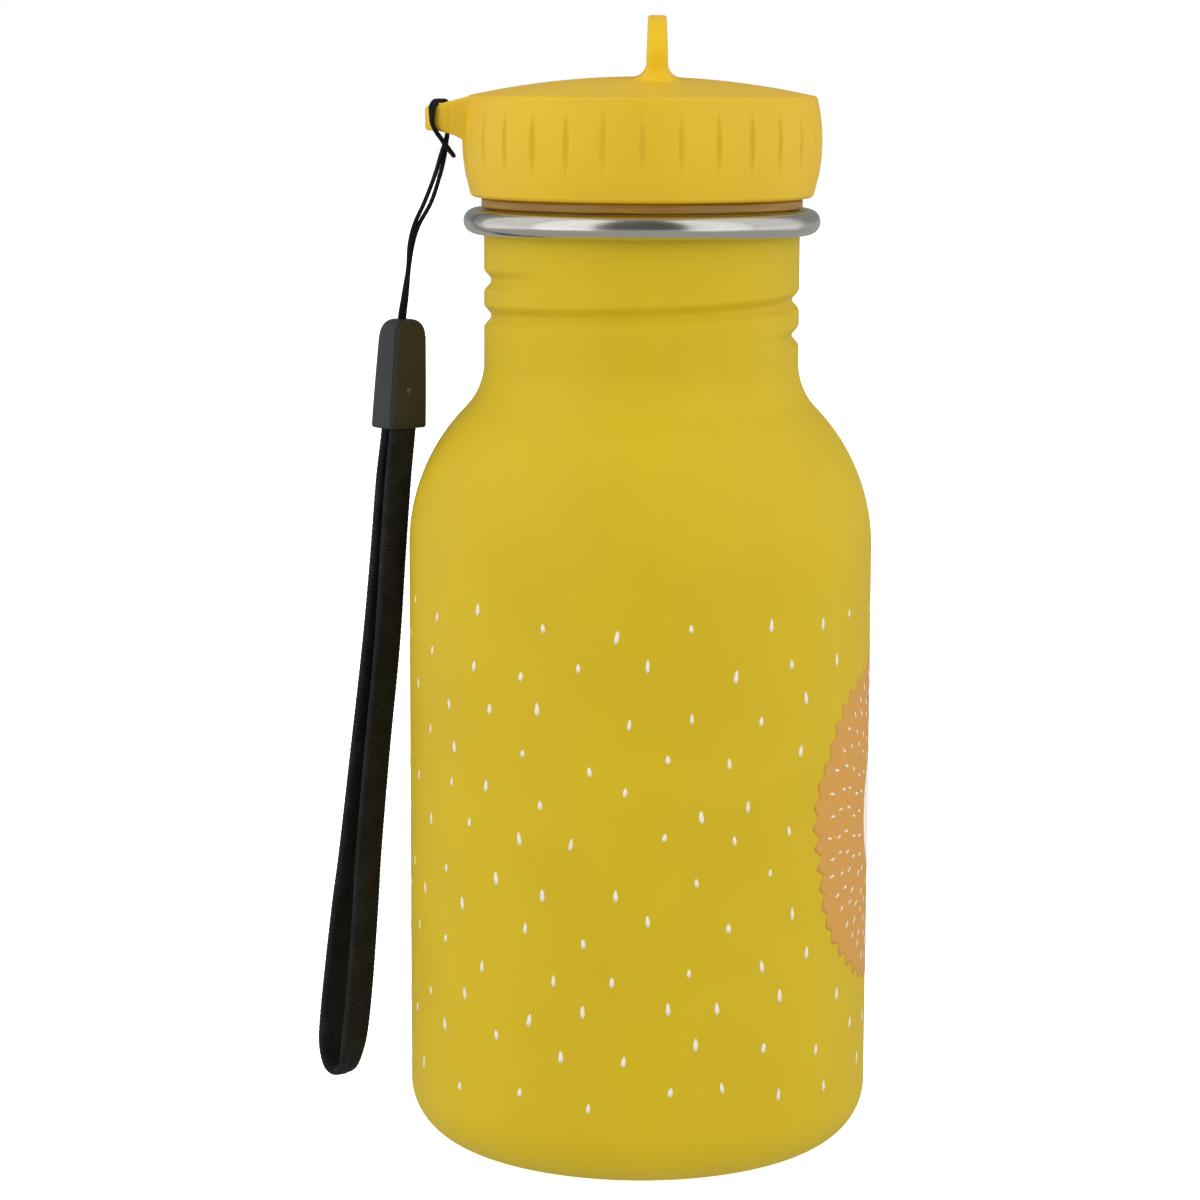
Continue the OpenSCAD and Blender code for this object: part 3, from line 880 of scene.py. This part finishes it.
# ---------------------------------------------------------------- strap
def lanyard_path():
    """The thin cord's middle line: up one strand, round its own bight at the lug, and down the other."""
    def strand(side):
        points = []
        for middle, degrees, half in PAIR_ROUTE:
            turn = math.radians(degrees)
            points.append(Vector(middle) + side * half * Vector((math.cos(turn), math.sin(turn), 0)))
        return points

    return strand(1) + [Vector(BIGHT_TIP)] + strand(-1)[::-1]


def carried_frames(path, across):
    """Unit directions along a path, and two across it that turn as little as they can."""
    along = unit(np.gradient(path, axis=0))
    side = np.zeros_like(along)
    now = np.array(across, float)
    for i, t in enumerate(along):
        now = now - t * now.dot(t)
        now /= np.linalg.norm(now)
        side[i] = now
    return along, side, np.cross(along, side)


def tube(name, path, frames, section):
    """A tube along a path. section(i, k) gives the offsets along the two directions across it."""
    _, side, up = frames
    rings = [[path[i] + side[i] * a + up[i] * b for a, b in section(i)] for i in range(len(path))]
    return lofted(name, rings)


def lanyard():
    """The braided thin cord, with its strands standing up in a slow spiral."""
    step = 0.12
    path = smooth_route(lanyard_path(), step)
    frames = carried_frames(path, (0, 1, 0))
    sides = 14

    def section(i):
        ring = []
        for k in range(sides):
            a = TAU * k / sides
            strand = (0.022 * abs(math.sin(2 * a + i * step * 3.4))
                      + 0.016 * abs(math.sin(2 * a - i * step * 3.4)))
            r = CORD_D / 2 - 0.025 + strand
            ring.append((r * math.cos(a), r * math.sin(a)))
        return ring

    cord = tube("lanyard_cord_pair", path, frames, section)
    cord.data.materials.append(CORD)
    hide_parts("lanyard_cord", "cord_hitch")
    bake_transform(cord)
    return cord


def webbing():
    """The flat tubular braid of the wrist loop, with herringbone ribs raised on both faces."""
    step = 0.2
    path = smooth_route(WEBBING_ROUTE, step)
    flat = np.array((math.cos(SLEEVE_TURN), math.sin(SLEEVE_TURN), 0))
    along = unit(np.gradient(path, axis=0))
    across = np.repeat(flat[None, :], len(path), axis=0)
    out = unit(np.cross(along, across))
    outline = rounded_rectangle(WEBBING_W / 2, WEBBING_T / 2, 0.55, 4, 18)
    corner = 0.55
    rings = []
    for i in range(len(path)):
        s = i * step
        ring = []
        fold = math.exp(-((path[i][2] - path[:, 2].min()) / 3.2) ** 2)
        for a, b in outline:
            a *= 1 - 0.2 * fold
            place = abs(a) / 0.62
            chevron = math.sin(TAU * (s + 0.55 * abs(place % 2 - 1)) / 0.82)
            rib = 0.5 + 0.5 * math.cos(TAU * a / 1.24)
            lift = 0.025 * chevron * (0.5 + 0.5 * rib) + 0.045 * rib - 0.06
            fat = 1 - (0.12 + 0.5 * fold) * (a / (WEBBING_W / 2)) ** 2
            n = Vector((a - math.copysign(min(abs(a), WEBBING_W / 2 - corner), a), b)).normalized()
            ring.append(path[i] + across[i] * (a + n.x * lift) + out[i] * (b * fat + n.y * lift))
        rings.append(ring)
    strap = lofted("wrist_webbing_braid", rings)
    dress(strap, "wrist_loop", "webbing", WEBBING, stands_for=("wrist_webbing",))
    return strap


def in_sleeve(x, y, z):
    """A place in the sleeve's own frame, in the row frame: X across its width, Y through it, Z up it."""
    turned_x = x * math.cos(SLEEVE_TURN) - y * math.sin(SLEEVE_TURN)
    turned_y = x * math.sin(SLEEVE_TURN) + y * math.cos(SLEEVE_TURN)
    return (SLEEVE_AT.x + turned_x * math.cos(SLEEVE_LEAN) + z * math.sin(SLEEVE_LEAN), turned_y,
            SLEEVE_AT.z - turned_x * math.sin(SLEEVE_LEAN) + z * math.cos(SLEEVE_LEAN))


def sleeve():
    """The moulded sleeve: a soft-cornered block that narrows to a rounded head, hollow from below."""
    half_w, half_t = SLEEVE_W / 2, SLEEVE_T / 2
    rings = []

    def ring(x, y, corner, z):
        rings.append([in_sleeve(a, b, z) for a, b in rounded_rectangle(x, y, corner, 6, 6)])

    for depth in (10, 6, 2, 0.4):
        ring(WEBBING_W / 2 + 0.2, 1.6, 0.5, depth)
    ring(WEBBING_W / 2 + 0.3, 1.66, 0.5, 0.12)
    ring(WEBBING_W / 2 + 0.5, 1.7, 0.5, 0)
    ring(half_w - 0.35, half_t - 0.3, 0.6, 0)
    for i in range(1, 5):
        a = math.radians(22.5 * i)
        ring(half_w - 0.35 + 0.35 * math.sin(a), half_t - 0.3 + 0.3 * math.sin(a),
             0.7, 0.35 * (1 - math.cos(a)))
    head_w, head_t = 2.5, 1.3
    for i in range(1, 9):
        t = i / 8
        ring(half_w - 0.55 * t ** 1.3, half_t - 0.2 * t, 0.7, 0.35 + (SLEEVE_H - head_w - 0.35) * t)
    for i in range(1, 15):
        a = math.radians(90 * i / 14.5)
        ring(half_w - 0.55 - head_w * (1 - math.cos(a) ** 0.85),
             half_t - 0.2 - head_t * (1 - math.cos(a) ** 0.8),
             0.7 * math.cos(a) + 0.15, SLEEVE_H - head_w + head_w * math.sin(a))
    piece = lofted("strap_sleeve_moulding", rings)
    dress(piece, "wrist_loop", "sleeve_plastic", SLEEVE_PLASTIC, stands_for=("strap_sleeve",))
    mark = [[in_sleeve(-0.3 + r * math.cos(a), -half_t + 0.12 - lift, 5.5 + r * math.sin(a))
             for a in even_angles(20)]
            for r, lift in ((0.34, -0.25), (0.34, 0.02), (0.3, 0.06), (0.24, 0.05),
                            (0.2, -0.02), (0.15, -0.02), (0.12, 0.03), (0.05, 0.05))]
    dress(lofted("sleeve_gate_mark", mark), "wrist_loop", "sleeve_plastic", MARK_PLASTIC)
    return piece


# ---------------------------------------------------------------- stage
def flat_panel(name, corners, colour, glow=0.0):
    """A plain sheet for the set."""
    made, _, shader = new_material(name)
    shader.inputs["Base Color"].default_value = (*colour, 1)
    shader.inputs["Roughness"].default_value = 1
    shader.inputs["Specular IOR Level"].default_value = 0
    shader.inputs["Emission Color"].default_value = (1, 1, 1, 1)
    shader.inputs["Emission Strength"].default_value = glow
    panel = mesh_object(name, corners, [(0, 1, 2, 3)])
    panel.data.materials.append(made)
    return panel


def soft_box(name, x, y, z, size, power):
    """An upright rectangular light that faces the bottle's axis."""
    data = bpy.data.lights.new(name, "AREA")
    data.shape = "RECTANGLE"
    data.size, data.size_y = size
    data.energy = power
    light = bpy.data.objects.new(name, data)
    bpy.context.scene.collection.objects.link(light)
    light.location = (x, y, z)
    light.rotation_euler = (math.radians(90), 0, math.atan2(x, -y))


def stage():
    """A white floor, a soft box on each side, and a dark card behind the camera that darkens the middle."""
    wide = 4000
    sunk = -0.02
    ground = [(-wide, -wide, sunk), (wide, -wide, sunk), (wide, wide, sunk), (-wide, wide, sunk)]
    upright = [(-540, -1000, -10), (540, -1000, -10), (540, -1000, 3400), (-540, -1000, 3400)]
    floor = flat_panel("floor", ground, (0.9, 0.9, 0.9), 0.86)
    card = flat_panel("dark_card", upright, (0.02, 0.02, 0.02), 0.08)
    for sheet in (floor, card):
        sheet.visible_diffuse = False
    floor.visible_glossy = False
    card.visible_camera = False

    world = bpy.data.worlds.new("studio")
    bpy.context.scene.world = world
    world.use_nodes = True
    tree = world.node_tree
    background = next(n for n in tree.nodes if n.type == "BACKGROUND")
    background.inputs["Strength"].default_value = 1
    path = tree.nodes.new("ShaderNodeLightPath")
    tone = tree.nodes.new("ShaderNodeMix")
    tone.data_type = "RGBA"
    tone.inputs[6].default_value = (0.80, 0.80, 0.79, 1)
    place = tree.nodes.new("ShaderNodeTexCoord")
    split = tree.nodes.new("ShaderNodeSeparateXYZ")
    tree.links.new(place.outputs["Generated"], split.inputs["Vector"])
    mirrored = ramp(tree, split.outputs["Z"], [(0.0, (0.42, 0.42, 0.41)), (0.06, (0.27, 0.27, 0.265))])
    tree.links.new(mirrored, tone.inputs[7])
    seen = tree.nodes.new("ShaderNodeMix")
    seen.data_type = "RGBA"
    seen.inputs[7].default_value = (1, 1, 1, 1)
    tree.links.new(path.outputs["Is Glossy Ray"], tone.inputs[0])
    tree.links.new(tone.outputs[2], seen.inputs[6])
    tree.links.new(path.outputs["Is Camera Ray"], seen.inputs[0])
    tree.links.new(seen.outputs[2], background.inputs["Color"])
    for side, name, share in ((-1, "left", 1.2), (1, "right", 1.1)):
        soft_box(name + "_front_box", side * 0.55, -0.43, 1.1, (0.57, 2.4), 3.3 * share)
        soft_box(name + "_side_box", side * 0.69, 0.12, 1.1, (0.6, 2.4), 2.1 * share)
    bpy.context.scene.view_settings.view_transform = "Standard"


lanyard()
webbing()
sleeve()
bottle_body()
base_plate()
rim_bead()
seal()
cap_shell()
cap_crest()
cap_lug()
cap_plug()
printed_front()
printed_dashes()
for node, material in (("cord_knot", CORD), ("webbing_crimp", CRIMP_STEEL)):
    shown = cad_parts[node]
    shown.data.materials.clear()
    shown.data.materials.append(material)
stage()
